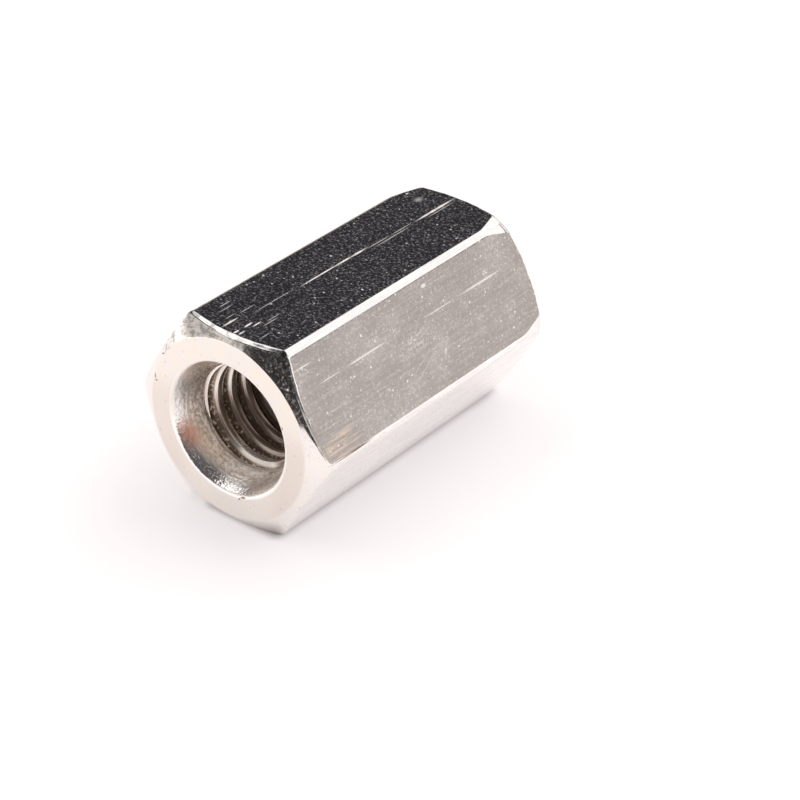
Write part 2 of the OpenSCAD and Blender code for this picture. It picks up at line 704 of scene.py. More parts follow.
def new_mesh(name, points, faces):
    """A mesh of triangles from an array of points and an array of their numbers."""
    mesh = bpy.data.meshes.new(name)
    mesh.vertices.add(len(points))
    mesh.vertices.foreach_set("co", points.astype(np.float32).ravel())
    mesh.loops.add(faces.size)
    mesh.loops.foreach_set("vertex_index", faces.astype(np.int32).ravel())
    mesh.polygons.add(len(faces))
    mesh.polygons.foreach_set("loop_start", np.arange(0, faces.size, 3, dtype=np.int32))
    mesh.update(calc_edges=True)
    mesh.validate()
    return mesh


# ---------------------------------------------------------------- node helpers


def new_material(name):
    """An empty material and its node tree."""
    material = bpy.data.materials.new(name)
    material.use_nodes = True
    material.node_tree.nodes.clear()
    return material, material.node_tree


def put(tree, kind, inputs=None, **settings):
    """Adds a node, sets its properties and sockets, and links each socket given an output."""
    made = tree.nodes.new("ShaderNode" + kind)
    for name, value in settings.items():
        setattr(made, name, value)
    for key, value in (inputs or {}).items():
        if isinstance(value, bpy.types.NodeSocket):
            tree.links.new(value, made.inputs[key])
        else:
            made.inputs[key].default_value = value
    return made


def calc(tree, operation, *values):
    """Result of a Math node on numbers and sockets."""
    return put(tree, "Math", dict(enumerate(values)), operation=operation).outputs[0]


def chained(tree, operation, values):
    """Result of an operation on the first two values, then on that and each further value."""
    return reduce(lambda found, value: calc(tree, operation, found, value), values)


def largest(tree, *values):
    """The largest of several numbers and sockets."""
    return chained(tree, "MAXIMUM", values)


def times(tree, *values):
    """Product of numbers and sockets."""
    return chained(tree, "MULTIPLY", values)


def total(tree, *values):
    """Sum of numbers and sockets."""
    return chained(tree, "ADD", values)


def inverse(tree, mask):
    """One less a mask."""
    return calc(tree, "SUBTRACT", 1, mask)


def capped(tree, value):
    """A value held at 1."""
    return calc(tree, "MINIMUM", value, 1)


def vector(tree, operation, *values):
    """Result of a Vector Math node on vectors and sockets."""
    return put(tree, "VectorMath", dict(enumerate(values)), operation=operation).outputs[0]


def length(tree, place):
    """Distance of a place from the origin."""
    return put(tree, "VectorMath", {0: place}, operation="LENGTH").outputs["Value"]


def scaled(tree, place, scale):
    """A place times a number."""
    return put(tree, "VectorMath", {0: place, "Scale": scale}, operation="SCALE").outputs[0]


def joined(tree, *values):
    """A place from its numbers, with 0 for those not given."""
    return put(tree, "CombineXYZ", dict(enumerate(values))).outputs[0]


def parts_of(tree, place):
    """The outputs X, Y and Z of a place."""
    return put(tree, "SeparateXYZ", {0: place}).outputs


def fade(tree, value, start, finish):
    """Smooth step: 0 where the value is at start, 1 where it is at finish, held beyond both."""
    inputs = {"Value": value, "From Min": start, "From Max": finish}
    return put(tree, "MapRange", inputs, interpolation_type="SMOOTHSTEP").outputs[0]


def ramp(tree, value, low, high):
    """The number between low and high that a value from 0 to 1 stands for."""
    return put(tree, "MapRange", {"Value": value, "To Min": low, "To Max": high}).outputs[0]


def blended(tree, part, first, second):
    """Number between a first and a second one, by a part from 0 to 1."""
    return put(tree, "Mix", {0: part, 2: first, 3: second}).outputs[0]


def mixed(tree, part, first, second):
    """Colour between a first and a second one, by a part from 0 to 1."""
    made = put(tree, "Mix", {"Factor": part}, data_type="RGBA")
    for socket, value in ((made.inputs[6], first), (made.inputs[7], second)):
        if isinstance(value, bpy.types.NodeSocket):
            tree.links.new(value, socket)
        else:
            socket.default_value = (*value, 1)
    return made.outputs[2]


def noise(tree, place, scale, detail=2.0, roughness=0.5):
    """Noise about 0.5 with scale features to a millimetre."""
    inputs = {"Vector": place, "Scale": scale, "Detail": detail, "Roughness": roughness}
    return put(tree, "TexNoise", inputs).outputs[0]


def dots(tree, place, cells, size):
    """Spots about the middles of random cells, as many cells to a millimetre as given.

    A spot is brightest at a cell's middle and 0 beyond its size, in parts of a cell. Its
    brightness is the square of a random number, so most spots are faint.
    """
    cell = put(tree, "TexVoronoi", {"Vector": place, "Scale": cells}).outputs
    chance = parts_of(tree, cell["Color"])["X"]
    return times(tree, fade(tree, cell["Distance"], size, size * 0.3), chance, chance)


def turned_place(tree, place, flat_angle):
    """A place turned about the bore axis so that the flat at an angle faces up."""
    turn = (0, flat_angle - math.pi / 2, 0)
    return put(tree, "Mapping", {"Vector": place, "Rotation": turn}).outputs[0]


def blot(tree, place, middle, size, turn=0.0, core=0.0):
    """An ellipse about a middle: 1 out to its core, in parts of its size, and 0 at its rim.

    With two numbers for its middle and size it goes through the whole depth.
    """
    sizes = size if len(size) == 3 else (*size, THROUGH)
    spot = middle if len(middle) == 3 else (*middle, 0)
    inputs = {"Vector": place, "Location": spot, "Rotation": (0, 0, turn), "Scale": sizes}
    local = put(tree, "Mapping", inputs, vector_type="TEXTURE").outputs[0]
    return fade(tree, length(tree, local), 1, core)


def streaks(tree, place, rows):
    """Long thin ellipses that lie along the bar: place across, start, finish and half width."""
    return largest(
        tree,
        *[
            blot(tree, place, (across, (start + end) / 2), (width, (end - start) / 2), core=0.4)
            for across, start, end, width in rows
        ],
    )


# ---------------------------------------------------------------- marks
# Places are millimetres: across a flat from its middle line, then along the bar

TOP_SCRATCHES = (
    (-0.42, -3.7, 0.1, 0.06),
    (-0.41, -1.2, 0.9, 0.08),
    (-0.40, 0.0, 1.9, 0.085),
    (-0.25, 5.0, 8.9, 0.10),
    (-0.75, -8.6, -7.3, 0.07),
    (0.0, -8.65, -8.15, 0.08),
    (0.02, -7.95, -7.2, 0.07),
    (0.25, -8.55, -8.05, 0.07),
    (0.27, -7.65, -6.9, 0.06),
)
FAINT_TOP_SCRATCHES = (
    (-0.32, 1.3, 3.6, 0.05),
    (-0.14, 1.5, 5.2, 0.05),
    (-0.30, 3.2, 5.4, 0.05),
    (-0.05, 5.6, 8.7, 0.05),
    (-0.95, -7.2, -5.9, 0.045),
    (-1.1, -8.0, -7.0, 0.04),
    (-0.5, -7.0, -3.5, 0.04),
    (-1.7, -7.8, -6.5, 0.045),
    (-2.0, -7.4, -6.3, 0.045),
    (0.6, -7.4, -6.0, 0.045),
    (0.45, -6.9, -5.8, 0.04),
    (1.2, -8.2, -7.4, 0.04),
)
RIGHT_SCRATCHES = (
    (-0.85, -7.4, -5.4, 0.035),
    (-0.86, -5.6, -1.8, 0.075),
    (-0.84, 0.3, 3.4, 0.04),
    (-0.85, 2.9, 7.5, 0.075),
    (-1.95, -8.6, -7.0, 0.05),
)
FAINT_RIGHT_SCRATCHES = (
    (-1.6, -8.3, -7.3, 0.04),
    (-2.2, -8.5, -7.7, 0.04),
    (1.1, -8.4, -6.2, 0.04),
    (1.55, -8.3, -5.6, 0.04),
    (0.2, -4.8, -3.2, 0.04),
    (0.55, -7.6, -6.0, 0.04),
)
# Middle across and up from the bore axis, half sizes and turn
RING_DENTS = (
    ((-3.80, 2.95), (0.05, 0.38), 0.12),
    ((-3.93, 2.52), (0.16, 0.05), 0.5),
    ((-4.22, 2.6), (0.13, 0.04), -0.3),
    ((-4.40, 1.15), (0.05, 0.2), 0.2),
    ((-4.33, 0.93), (0.12, 0.045), 0.2),
    ((3.27, 1.45), (0.05, 0.12), 0.4),
    ((1.0, -3.36), (0.2, 0.07), 0.3),
    ((0.8, -3.5), (0.12, 0.05), 0.9),
)


def top_marks(tree, place):
    """Draw scratches on the top flat: one runs most of its length, and short ones start it."""
    faint = times(tree, streaks(tree, place, FAINT_TOP_SCRATCHES), 0.45)
    spot = times(tree, blot(tree, place, (-1.5, 7.2), (0.3, 0.4)), 0.4)
    return largest(tree, streaks(tree, place, TOP_SCRATCHES), faint, spot)


def right_marks(tree, place, speckled):
    """Draw scratches, a pit, slanting scratches and a scuffed cloud on the flat on the right."""
    slant = math.atan2(1.3, 2.8)
    slants = largest(
        tree,
        blot(tree, place, (1.25, -0.4), (0.045, 1.6), slant, 0.4),
        blot(tree, place, (1.0, -0.7), (0.04, 1.2), slant - 0.05, 0.4),
    )
    return largest(
        tree,
        streaks(tree, place, RIGHT_SCRATCHES),
        blot(tree, place, (-2.2, 1.4), (0.11, 0.21), core=0.6),
        times(tree, streaks(tree, place, FAINT_RIGHT_SCRATCHES), 0.4),
        times(tree, blot(tree, place, (-0.1, -0.3), (0.8, 2.4)), speckled, 0.6),
        times(tree, slants, 0.4),
    )


# ---------------------------------------------------------------- plating

# Where zones start and where they are whole, in millimetres from the bore axis
RING_RIM = (4.55, 4.7)
LIP_OUTSIDE = (3.62, 3.5)
LIP_INSIDE = (3.5, 3.35)
LIP_FOOT = (3.2, 3.3)

# The same in millimetres from the middle of the bar, and above the bore axis for the flats
RING_FACE = (-8.8, -8.95)
WALL_START = (8.7, 8.0)
THREAD_START = (7.56, 7.5)
FLAT_HEIGHT = (4.9, 4.96)

# Colours of the plate on the outside
CLOUDED_COLOUR = (0.80, 0.775, 0.755)
DRAWN_COLOUR = (1.0, 0.97, 0.94)
TINT_COLOUR = (0.84, 0.77, 0.72)
RING_COLOUR = (0.88, 0.815, 0.725)
RING_SHADE_COLOUR = (0.78, 0.71, 0.655)
PIT_COLOUR = (0.5, 0.42, 0.36)
WORN_COLOUR = (0.30, 0.31, 0.29)
LIP_HIGHLIGHT_COLOUR = (1.0, 0.97, 0.94)
DENT_COLOUR = (0.22, 0.15, 0.12)

# Colours in the mouths and the thread
GRAIN_COLOUR = (1.0, 0.94, 0.85)
TAN_COLOUR = (1.0, 0.81, 0.64)
WALL_SHADE_COLOUR = (0.40, 0.37, 0.35)
PALE_HIGHLIGHT_COLOUR = (1.0, 0.94, 0.88)
CREST_COLOUR = (0.94, 0.88, 0.82)
FLANK_COLOUR = (0.5, 0.38, 0.3)
GLINT_COLOUR = (0.98, 0.86, 0.74)

# Roughness of the plate inside the lips, on the thread's crests and in its grooves
INSIDE_ROUGHNESS = 0.16
CREST_ROUGHNESS = 0.18
GROOVE_ROUGHNESS = 0.26


def plate_zones(tree):
    """Places in millimetres about the bore axis, and masks of the standoff's parts."""
    metres = put(tree, "TexCoord").outputs["Object"]
    place = scaled(tree, vector(tree, "ADD", metres, (0, 0, -FLAT_DISTANCE)), 1 / MM)
    axes = parts_of(tree, place)
    from_axis = length(tree, vector(tree, "MULTIPLY", place, (1, 0, 1)))
    from_middle = calc(tree, "ABSOLUTE", axes["Y"])
    turned = put(tree, "Attribute", attribute_name="turned").outputs["Fac"]
    inside = fade(tree, from_axis, *LIP_INSIDE)
    tapped = times(tree, inside, fade(tree, from_middle, *THREAD_START))
    return SimpleNamespace(
        place=place,
        x=axes["X"],
        y=axes["Y"],
        z=axes["Z"],
        from_axis=from_axis,
        from_middle=from_middle,
        groove=put(tree, "Attribute", attribute_name="groove").outputs["Fac"],
        turned=turned,
        flats=inverse(tree, turned),
        outer=fade(tree, from_axis, *RING_RIM),
        inside=inside,
        ring=times(tree, turned, inverse(tree, inside)),
        deep=times(tree, inside, fade(tree, from_middle, *WALL_START)),
        tapped=tapped,
        untapped=inverse(tree, tapped),
        lower=fade(tree, axes["Z"], 2, -1.5),
    )


def plate_patterns(tree, zone):
    """Noise patterns that colour, gloss and relief share.

    Lines run along the bar and rings round its axis. Scored is rings that drift with the
    place, and lined is the rings of the thread's flanks.
    """
    place = zone.place
    clouds = noise(tree, place, 0.45, 3)
    grit = noise(tree, place, 6, 2, 0.6)
    round_place = joined(tree, zone.from_axis, zone.from_middle)
    rings = noise(tree, round_place, 11, 2, 0.7)
    drifting = vector(tree, "ADD", round_place, scaled(tree, place, 0.12))
    scored = noise(tree, drifting, 9, 3, 0.75)
    grain = total(tree, times(tree, scored, 0.5), times(tree, grit, 0.5))
    flank_lines = noise(tree, joined(tree, times(tree, zone.from_axis, 14), clouds), 1, 2, 0.7)
    return SimpleNamespace(
        clouds=clouds,
        grit=grit,
        rings=rings,
        scored=scored,
        dimples=noise(tree, place, 3.2, 3, 0.6),
        lines=noise(tree, vector(tree, "MULTIPLY", place, (1, 0.05, 1)), 8, 3, 0.7),
        grainy=fade(tree, grain, 0.43, 0.57),
        lined=largest(tree, fade(tree, flank_lines, 0.5, 0.7), fade(tree, rings, 0.5, 0.66)),
    )


def outside_marks(tree, zone, pattern):
    """Scratches on two flats, dents in the near ring, and the worn patch.

    The patch is on the right flat's near lower corner, with a dark line under it.
    """
    top_place = turned_place(tree, zone.place, TOP_FLAT)
    on_top = fade(tree, parts_of(tree, top_place)["Z"], *FLAT_HEIGHT)
    right_place = turned_place(tree, zone.place, RIGHT_FLAT)
    on_right = fade(tree, parts_of(tree, right_place)["Z"], *FLAT_HEIGHT)
    speckled = fade(tree, pattern.grit, 0.42, 0.62)
    top = times(tree, top_marks(tree, top_place), on_top)
    right = times(tree, right_marks(tree, right_place, speckled), on_right)
    gaps = ramp(tree, fade(tree, noise(tree, zone.place, 2.5, 2), 0.35, 0.5), 0.7, 1)
    patch = fade(tree, blot(tree, right_place, (2.1, -7.2), (0.85, 1.7)), 0.0, 0.5)
    under = blot(tree, right_place, (2.68, -6.9), (0.07, 1.9), core=0.5)
    face = joined(tree, zone.x, zone.z)
    dents = largest(tree, *[blot(tree, face, *dent, core=0.3) for dent in RING_DENTS])
    return SimpleNamespace(
        on_right=on_right,
        scratches=times(tree, largest(tree, top, right), gaps),
        dents=times(tree, dents, fade(tree, zone.y, *RING_FACE)),
        patch=times(tree, patch, fade(tree, pattern.lines, 0.42, 0.62), on_right),
        under=times(tree, under, on_right, fade(tree, pattern.lines, 0.3, 0.6)),
    )


def inside_marks(tree, zone, pattern):
    """Stain, tan area, painted shade and a painted pale highlight in the near mouth, and what
    has settled in the thread.

    Worked covers the grooves, and the crests that lie low but not at the bottom of the first
    turns, which darkens the thread towards the bottom. Glints are pale grains in the first
    grooves: painted highlights.
    """
    place, inside, from_middle = zone.place, zone.inside, zone.from_middle
    stain = blot(tree, place, (-2.85, -8.5, -1.7), (1.2, 0.75, 1.2))
    stain = times(tree, stain, ramp(tree, fade(tree, pattern.grit, 0.38, 0.6), 0.6, 1.3), inside)
    # Painted shade on the mouth's wall: a dark blot on the left and a fainter one low on the right
    wall_shade = largest(
        tree,
        blot(tree, place, (-3.1, -8.3, 0.9), (1.1, 0.9, 1.3)),
        times(tree, blot(tree, place, (1.7, -8.3, -2.7), (0.9, 0.5, 0.9)), 0.6),
    )
    bottom = times(tree, fade(tree, zone.z, -2.0, -2.4), fade(tree, from_middle, 5.8, 6.3))
    # Crests darker towards the bottom of the first turns, but not at the very bottom
    low_crests = times(
        tree,
        fade(tree, zone.z, 0.3, -0.9),
        inverse(tree, bottom),
        fade(tree, from_middle, 7.35, 7.1),
        ramp(tree, pattern.lined, 0.95, 0.6),
    )
    # Painted highlights: pale glints in the grooves of the first turns
    glints = times(tree, fade(tree, pattern.grit, 0.52, 0.66), fade(tree, from_middle, 4, 7))
    in_groove = fade(tree, zone.groove, 0.25, 0.6)
    return SimpleNamespace(
        stain=capped(tree, stain),
        tan=times(tree, blot(tree, place, (-2.1, -8.1, -2.1), (1.6, 0.8, 1.5)), inside),
        wall_shade=times(tree, wall_shade, inside, ramp(tree, pattern.scored, 0.6, 1.2)),
        # Painted highlight: a paler area low in the mouth, by the thread, which is also rougher
        pale=times(tree, blot(tree, place, (0.5, -7.7, -2.9), (2.3, 0.6, 0.9)), inside),
        worked=times(tree, largest(tree, fade(tree, zone.groove, 0.25, 0.5), low_crests), zone.tapped),
        glints=times(tree, glints, zone.tapped, in_groove),
    )


def outside_colour(tree, finish, zone, pattern, marks):
    """Colour on the flats, the end rings, the chamfers and the lips."""
    ring, turned = zone.ring, zone.turned
    colour = mixed(tree, pattern.clouds, CLOUDED_COLOUR, finish.plate_colour)
    drawn = times(tree, zone.flats, fade(tree, pattern.lines, 0.4, 0.7))
    colour = mixed(tree, drawn, colour, DRAWN_COLOUR)
    # Less tint low down, which paints the lower flats paler: painted light
    above = ramp(tree, fade(tree, zone.z, -1, 0.5), 0.2, 1)
    tint = times(tree, zone.flats, fade(tree, pattern.dimples, 0.5, 0.8), above)
    colour = mixed(tree, tint, colour, TINT_COLOUR)

    mottled = fade(tree, total(tree, pattern.dimples, pattern.clouds), 0.88, 1.12)
    creamy = times(tree, ring, ramp(tree, mottled, 0.3, 1.0), ramp(tree, zone.outer, 1, 0.35))
    colour = mixed(tree, creamy, colour, RING_COLOUR)
    # Painted shade: the ring darker on its lower sides, inside its rim
    sides = fade(tree, calc(tree, "ABSOLUTE", zone.x), 1.8, 3.6)
    ring_shade = times(tree, ring, sides, fade(tree, zone.z, 1.8, 0.2), ramp(tree, zone.outer, 1, 0))
    colour = mixed(tree, times(tree, ring_shade, 0.8), colour, RING_SHADE_COLOUR)
    pits = times(tree, dots(tree, zone.place, 2.7, 0.25), ring, 0.4)
    colour = mixed(tree, pits, colour, PIT_COLOUR)

    # Worn mottle on the upper chamfers, and nicks in the crease over the top flat
    worn = total(tree, times(tree, pattern.dimples, 0.6), times(tree, pattern.scored, 0.4))
    worn = times(tree, fade(tree, worn, 0.45, 0.58), fade(tree, zone.z, 2.3, 3.3))
    worn = times(tree, worn, turned, zone.outer, 0.75)
    nicks = fade(tree, noise(tree, zone.place, 1.4, 3, 0.65), 0.48, 0.58)
    crease = times(tree, turned, inverse(tree, turned), fade(tree, zone.z, 4.2, 4.6))
    worn = largest(tree, worn, times(tree, crease, nicks, 3.2))
    colour = mixed(tree, capped(tree, worn), colour, WORN_COLOUR)

    # Lips painted paler, most of all low down and on the right: a painted highlight
    lip_highlight_side = largest(tree, fade(tree, zone.z, 0.2, -1.5), fade(tree, zone.x, 0, 2))
    lip = times(tree, turned, ramp(tree, lip_highlight_side, 0.3, 1.0))
    for zone_edge in (LIP_OUTSIDE, LIP_FOOT):
        lip = times(tree, lip, fade(tree, zone.from_axis, *zone_edge))
    colour = mixed(tree, lip, colour, LIP_HIGHLIGHT_COLOUR)
    colour = mixed(tree, times(tree, marks.patch, 0.8), colour, finish.brass_colour)
    return mixed(tree, largest(tree, marks.under, marks.dents), colour, DENT_COLOUR)


def inside_colour(tree, finish, colour, zone, pattern, marks):
    """Colour of the mouths' walls and of the thread, over the colour outside."""
    grainy = pattern.grainy
    walls = mixed(tree, grainy, finish.mouth_colour, GRAIN_COLOUR)
    colour = mixed(tree, zone.deep, colour, walls)
    colour = mixed(tree, times(tree, marks.tan, ramp(tree, grainy, 0.3, 0.85)), colour, TAN_COLOUR)
    # Painted shade, then a painted highlight, on the mouth's walls
    colour = mixed(tree, times(tree, marks.wall_shade, 0.7), colour, WALL_SHADE_COLOUR)
    colour = mixed(tree, times(tree, marks.pale, ramp(tree, grainy, 0.4, 1.0)), colour, PALE_HIGHLIGHT_COLOUR)
    colour = mixed(tree, marks.stain, colour, finish.stain_colour)
    colour = mixed(tree, zone.tapped, colour, CREST_COLOUR)
    settled = mixed(tree, pattern.lined, finish.thread_colour, FLANK_COLOUR)
    settled = mixed(tree, marks.glints, settled, GLINT_COLOUR)
    return mixed(tree, marks.worked, colour, settled)


def plate_gloss(tree, finish, zone, pattern, worked):
    """Roughness of the mirror that the plate leaves on each part."""
    gloss = ramp(tree, pattern.clouds, finish.plate_roughness * 0.8, finish.plate_roughness * 1.3)
    wall = ramp(tree, pattern.dimples, finish.mouth_roughness - 0.1, finish.mouth_roughness + 0.05)
    gloss = blended(tree, zone.inside, gloss, INSIDE_ROUGHNESS)
    gloss = blended(tree, zone.deep, gloss, wall)
    gloss = blended(tree, zone.tapped, gloss, CREST_ROUGHNESS)
    return blended(tree, worked, gloss, GROOVE_ROUGHNESS)


def scatter(tree, zone, pattern, outside, inside):
    """How much of the light the surface scatters where plain plate would mirror it.

    Outside, specks, scratches and the worn patch do. Inside, the rough walls and the dirt do.
    """
    turned_specks = times(tree, fade(tree, zone.x, -2, 0), fade(tree, zone.z, 0, 1.5))
    where = total(tree, zone.flats, times(tree, zone.turned, turned_specks))
    haze = fade(tree, pattern.grit, 0.42, 0.75)
    specks = total(
        tree,
        times(tree, haze, haze, 0.2),
        times(tree, dots(tree, zone.place, 7.5, 0.5), 0.3),
        dots(tree, zone.place, 2.6, 0.2),
    )
    denser = ramp(tree, largest(tree, outside.on_right, zone.turned), 1, 1.75)
    specks = times(tree, specks, ramp(tree, pattern.clouds, 0.4, 1.3), where, zone.outer, denser)
    mist = times(tree, fade(tree, pattern.clouds, 0.48, 0.66), outside.on_right, 0.1)
    specks = total(tree, specks, mist)
    specks = largest(tree, specks, times(tree, outside.scratches, 0.95))
    specks = largest(tree, specks, times(tree, outside.patch, 0.6))

    rough = total(
        tree,
        times(tree, zone.inside, 0.12),
        times(tree, zone.deep, zone.lower, 0.4),
        times(tree, inside.tan, 0.25),
    )
    rough = total(
        tree,
        times(tree, rough, zone.untapped),
        times(tree, inside.stain, 0.4),
        times(tree, zone.tapped, zone.lower, 0.25),
        times(tree, inside.pale, 0.4),
        times(tree, inside.worked, ramp(tree, inside.glints, 0.25, 0.8)),
    )
    return capped(tree, total(tree, specks, rough))


def relief(tree, zone, pattern, dents):
    """Height of the surface's fine relief, in thousandths of a millimetre."""
    grain = total(tree, times(tree, pattern.scored, 16.0), times(tree, pattern.grit, 28.0))
    return total(
        tree,
        times(tree, noise(tree, zone.place, 0.9, 2), 2.0),
        times(tree, pattern.lines, zone.flats, 0.3),
        times(tree, pattern.rings, zone.turned, 0.7),
        times(tree, pattern.grit, zone.turned, 0.8),
        times(tree, grain, zone.inside, zone.untapped),
        times(tree, dents, -8.0),
    )


def plating(finish):
    """Bright nickel plate, with what the bar's drawing, turning, tapping and wear have left."""
    material, tree = new_material("nickel_plate")
    zone = plate_zones(tree)
    pattern = plate_patterns(tree, zone)
    outside = outside_marks(tree, zone, pattern)
    inside = inside_marks(tree, zone, pattern)
    colour = outside_colour(tree, finish, zone, pattern, outside)
    height = relief(tree, zone, pattern, outside.dents)
    bump = put(tree, "Bump", {"Strength": 1.0, "Distance": MICRON, "Height": height})
    shader = put(
        tree,
        "BsdfPrincipled",
        {
            "Base Color": inside_colour(tree, finish, colour, zone, pattern, inside),
            "Metallic": inverse(tree, scatter(tree, zone, pattern, outside, inside)),
            "Roughness": plate_gloss(tree, finish, zone, pattern, inside.worked),
            "Normal": bump.outputs[0],
        },
    )
    put(tree, "OutputMaterial", {"Surface": shader.outputs[0]})
    return material


class STANDOFF_OT_build_body(bpy.types.Operator):
    """Build the plated standoff in place of its plain model"""

    bl_idname = "standoff.build_body"
    bl_label = "Build standoff"

    def execute(self, context):
        points, faces, zones = standoff_surface(context.scene.standoff_sizes)
        mesh = new_mesh("standoff_plated", points, faces)
        for name, values in zones.items():
            zone = mesh.attributes.new(name, "FLOAT", "POINT")
            zone.data.foreach_set("value", values.astype(np.float32))
        mesh.shade_smooth()
        mesh.set_sharp_from_angle(angle=SHARP_ANGLE)
        mesh.materials.append(plating(context.scene.standoff_finish))
        piece = bpy.data.objects.new("standoff_plated", mesh)
        context.scene.collection.objects.link(piece)
        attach(piece, "root")
        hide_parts("standoff")
        return {"FINISHED"}


# ---------------------------------------------------------------- stage

# Metres
FLOOR_SIDE = 3
SOFTBOX_DISTANCE = 0.4

# The floor's glow: how far inside the resting flat it ends, which paints a contact shadow,
# and what it does further out, with a painted soft shadow round the standoff
FLOOR_GLOW_COLOUR = (1.0, 0.98, 0.985)
FOOTPRINT_INSET = (1.1 * MM, 0.7 * MM)
FOOTPRINT_SHIFT = 0.7 * MM
CONTACT_SHADOW_WIDTH = 0.85 * MM
PAINTED_SHADOW_GLOW = 0.93
PAINTED_SHADOW_WIDTH = 14 * MM
FAR_RANGE = (30 * MM, 150 * MM)
FAR_GAIN = 2

CARD_COLOUR = (1.0, 0.92, 0.98)
CARD_GLOW = 0.04

# The world: light on matt surfaces, and the room that the metal mirrors. Its dark upper part
# starts at a height between the two of the horizon, and higher by the rise in front.
AIR_COLOUR = (1.0, 0.94, 0.92)
AIR_STRENGTH = 0.72
HORIZON = (0.20, 0.36)
FRONT_RISE = 0.25
ROOM_SIDE_COLOUR = (0.49, 0.443, 0.424)
ROOM_FRONT_COLOUR = (0.85, 0.81, 0.78)
ROOM_ABOVE_COLOUR = (0.018, 0.018, 0.024)


def toward(azimuth, elevation):
    """Direction at an azimuth turned from +Y towards +X, and an elevation above the floor."""
    azimuth, elevation = math.radians(azimuth), math.radians(elevation)
    level = math.cos(elevation)
    return Vector((math.sin(azimuth) * level, math.cos(azimuth) * level, math.sin(elevation)))


def plain_shader(tree, kind, colour, **inputs):
    """Output of a shader node of one colour."""
    return put(tree, kind, {"Color": (*colour, 1)} | inputs).outputs[0]


def mixed_shader(tree, part, first, second):
    """Shader between a first and a second one, by a part from 0 to 1."""
    return put(tree, "MixShader", {0: part, 1: first, 2: second}).outputs[0]


def rectangle(name, middle, turn, width, height, material):
    """A flat rectangle about a middle point, square to the third axis of its turn.

    A corner is the middle, plus or less half the width along the first axis of the turn and
    half the height along the second.
    """
    halves = np.array([(-1, -1), (1, -1), (1, 1), (-1, 1)]) * (width / 2, height / 2)
    corners = halves @ np.array(turn)[:, :2].T + np.array(middle)
    mesh = bpy.data.meshes.new(name)
    mesh.from_pydata(corners, [], [(0, 1, 2, 3)])
    mesh.materials.append(material)
    piece = bpy.data.objects.new(name, mesh)
    bpy.context.scene.collection.objects.link(piece)
    return piece


def make_floor(studio):
    """Wide pale floor. A part of its white is its own glow, for the camera and the metal.

    The glow ends under the standoff, a little to the right of where it rests, which paints a
    contact shadow along its edges. It is slightly weaker round it for the camera, a painted soft
    shadow, and grows far away, where less light from the lamps falls.
    """
    material, tree = new_material("pale_floor")
    half_flat = FLAT_DISTANCE * math.tan(SECTOR / 2)
    resting = (half_flat - FOOTPRINT_INSET[0], BAR_LENGTH / 2 - FOOTPRINT_INSET[1], 0)
    place = put(tree, "TexCoord").outputs["Object"]
    place = vector(tree, "SUBTRACT", place, (FOOTPRINT_SHIFT, 0, 0))
    past = vector(tree, "SUBTRACT", vector(tree, "ABSOLUTE", place), resting)
    past = length(tree, vector(tree, "MAXIMUM", past, (0, 0, 0)))
    # Painted contact shadow: no glow at the footprint, full glow a contact width out
    near = fade(tree, past, 0, CONTACT_SHADOW_WIDTH)
    # Painted soft shadow: the camera sees a little less glow round the standoff
    around = ramp(tree, fade(tree, past, 0, PAINTED_SHADOW_WIDTH), PAINTED_SHADOW_GLOW, 1)
    far = ramp(tree, fade(tree, past, *FAR_RANGE), 1, FAR_GAIN)
    path = put(tree, "LightPath").outputs
    to_camera = times(tree, path["Is Camera Ray"], around)
    seen = total(tree, to_camera, path["Is Glossy Ray"], path["Is Transmission Ray"])
    strength = times(tree, seen, near, far, studio.floor_glow)
    diffuse = plain_shader(tree, "BsdfDiffuse", studio.floor_colour)
    white = plain_shader(tree, "Emission", FLOOR_GLOW_COLOUR, Strength=strength)
    both = put(tree, "AddShader", {0: diffuse, 1: white}).outputs[0]
    put(tree, "OutputMaterial", {"Surface": both})
    rectangle("floor", Vector((0, 0, 0)), Matrix.Identity(3), FLOOR_SIDE, FLOOR_SIDE, material)


def make_card(name, azimuth, elevation, distance, width, height):
    """A dark card that only mirrors in the metal, facing the middle of the standoff."""
    material, tree = new_material(name)
    surface = plain_shader(tree, "Emission", CARD_COLOUR, Strength=CARD_GLOW)
    put(tree, "OutputMaterial", {"Surface": surface})
    facing = toward(azimuth, elevation)
    turn = facing.to_track_quat("-Z", "Y").to_matrix()
    middle = Vector((0, 0, FLAT_DISTANCE)) + distance * facing
    piece = rectangle(name, middle, turn, width, height, material)
    piece.visible_camera = False
    piece.visible_diffuse = False
    piece.visible_shadow = False


def make_world():
    """White to the camera, and to the metal a room that is paler low down and dark above.

    The pale part reaches higher in front, and is brighter there.
    """
    world = bpy.data.worlds.new("studio")
    bpy.context.scene.world = world
    world.use_nodes = True
    tree = world.node_tree
    tree.nodes.clear()
    axes = parts_of(tree, put(tree, "TexCoord").outputs["Generated"])
    front = times(tree, calc(tree, "MINIMUM", axes["Y"], 0), FRONT_RISE)
    upward = fade(tree, total(tree, axes["Z"], front), *HORIZON)
    low = mixed(tree, times(tree, front, -1 / FRONT_RISE), ROOM_SIDE_COLOUR, ROOM_FRONT_COLOUR)
    room = mixed(tree, upward, low, ROOM_ABOVE_COLOUR)
    mirrored = put(tree, "Background", {"Color": room, "Strength": 1.0}).outputs[0]
    lit = plain_shader(tree, "Background", AIR_COLOUR, Strength=AIR_STRENGTH)
    white = plain_shader(tree, "Background", (1, 1, 1), Strength=1.0)
    path = put(tree, "LightPath").outputs
    unseen = mixed_shader(tree, path["Is Glossy Ray"], lit, mirrored)
    surface = mixed_shader(tree, path["Is Camera Ray"], unseen, white)
    put(tree, "OutputWorld", {"Surface": surface})


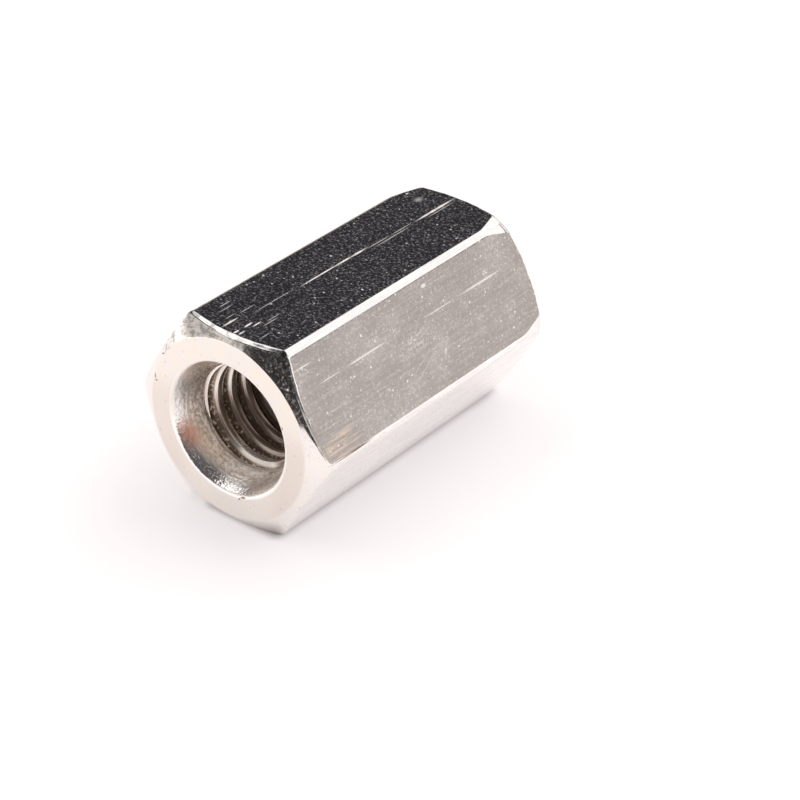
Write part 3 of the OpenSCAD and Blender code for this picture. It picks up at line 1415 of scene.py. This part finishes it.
def make_softbox(name, radiance, azimuth, elevation, width, height):
    """An area lamp that covers two angles as seen from the standoff, at an even brightness."""
    data = bpy.data.lights.new(name, "AREA")
    data.shape = "RECTANGLE"
    data.size = 2 * SOFTBOX_DISTANCE * math.tan(math.radians(width / 2))
    data.size_y = 2 * SOFTBOX_DISTANCE * math.tan(math.radians(height / 2))
    data.energy = radiance * math.pi * data.size * data.size_y
    lamp = bpy.data.objects.new(name, data)
    bpy.context.scene.collection.objects.link(lamp)
    away = toward(azimuth, elevation)
    lamp.location = Vector((0, 0, FLAT_DISTANCE)) + away * SOFTBOX_DISTANCE
    lamp.rotation_euler = away.to_track_quat("Z", "Y").to_euler()


def make_camera(studio):
    """Camera on a sphere about the point that it looks at, a little off the middle."""
    around = Matrix.Rotation(studio.camera_azimuth, 3, "Z")
    down = Matrix.Rotation(math.pi / 2 - studio.camera_elevation, 3, "X")
    roll = Matrix.Rotation(studio.camera_roll, 3, "Z")
    turn = around @ down @ roll
    aim = Vector((0, 0, FLAT_DISTANCE)) + turn @ Vector((*studio.camera_aim, 0))
    data = bpy.data.cameras.new("camera")
    data.lens = studio.focal_length
    data.clip_start = MM
    data.clip_end = 10
    camera = bpy.data.objects.new("camera", data)
    bpy.context.scene.collection.objects.link(camera)
    camera.location = aim + turn @ Vector((0, 0, studio.camera_distance))
    camera.rotation_euler = turn.to_euler()
    bpy.context.scene.camera = camera


class STANDOFF_OT_set_stage(bpy.types.Operator):
    """Set the floor, the lamps, the dark card and the camera"""

    bl_idname = "standoff.set_stage"
    bl_label = "Set stage"

    def execute(self, context):
        studio = context.scene.standoff_studio
        context.scene.view_settings.view_transform = "Standard"
        make_floor(studio)
        make_world()
        make_softbox("key", studio.key_radiance, azimuth=35, elevation=47, width=84, height=54)
        make_softbox("fill", studio.fill_radiance, azimuth=-100, elevation=50, width=68, height=32)
        make_card(
            "front_card", azimuth=160, elevation=14, distance=0.042, width=0.064, height=0.029
        )
        make_camera(studio)
        return {"FINISHED"}


class STANDOFF_PT_panel(bpy.types.Panel):
    """Sizes, finish and stage of the standoff"""

    bl_idname = "STANDOFF_PT_panel"
    bl_label = "Hex standoff"
    bl_space_type = "VIEW_3D"
    bl_region_type = "UI"
    bl_category = "Standoff"

    def draw(self, context):
        """List the settings of each operator over its button."""
        scene = context.scene
        sections = (
            (STANDOFF_OT_build_body, (scene.standoff_sizes, scene.standoff_finish)),
            (STANDOFF_OT_set_stage, (scene.standoff_studio,)),
        )
        for operator, groups in sections:
            box = self.layout.box()
            for settings in groups:
                for name in settings.__annotations__:
                    box.prop(settings, name)
            box.operator(operator.bl_idname)


CLASSES = (
    StandoffSizes,
    StandoffFinish,
    StandoffStudio,
    STANDOFF_OT_build_body,
    STANDOFF_OT_set_stage,
    STANDOFF_PT_panel,
)


def register():
    """Add the classes and the scene's settings."""
    for made in CLASSES:
        bpy.utils.register_class(made)
    bpy.types.Scene.standoff_sizes = PointerProperty(type=StandoffSizes)
    bpy.types.Scene.standoff_finish = PointerProperty(type=StandoffFinish)
    bpy.types.Scene.standoff_studio = PointerProperty(type=StandoffStudio)


def unregister():
    """Remove the scene's settings and the classes."""
    del bpy.types.Scene.standoff_studio
    del bpy.types.Scene.standoff_finish
    del bpy.types.Scene.standoff_sizes
    for made in reversed(CLASSES):
        bpy.utils.unregister_class(made)


def main():
    """Build the standoff and its stage."""
    register()
    bpy.ops.standoff.build_body()
    bpy.ops.standoff.set_stage()


if __name__ == "__main__":
    main()
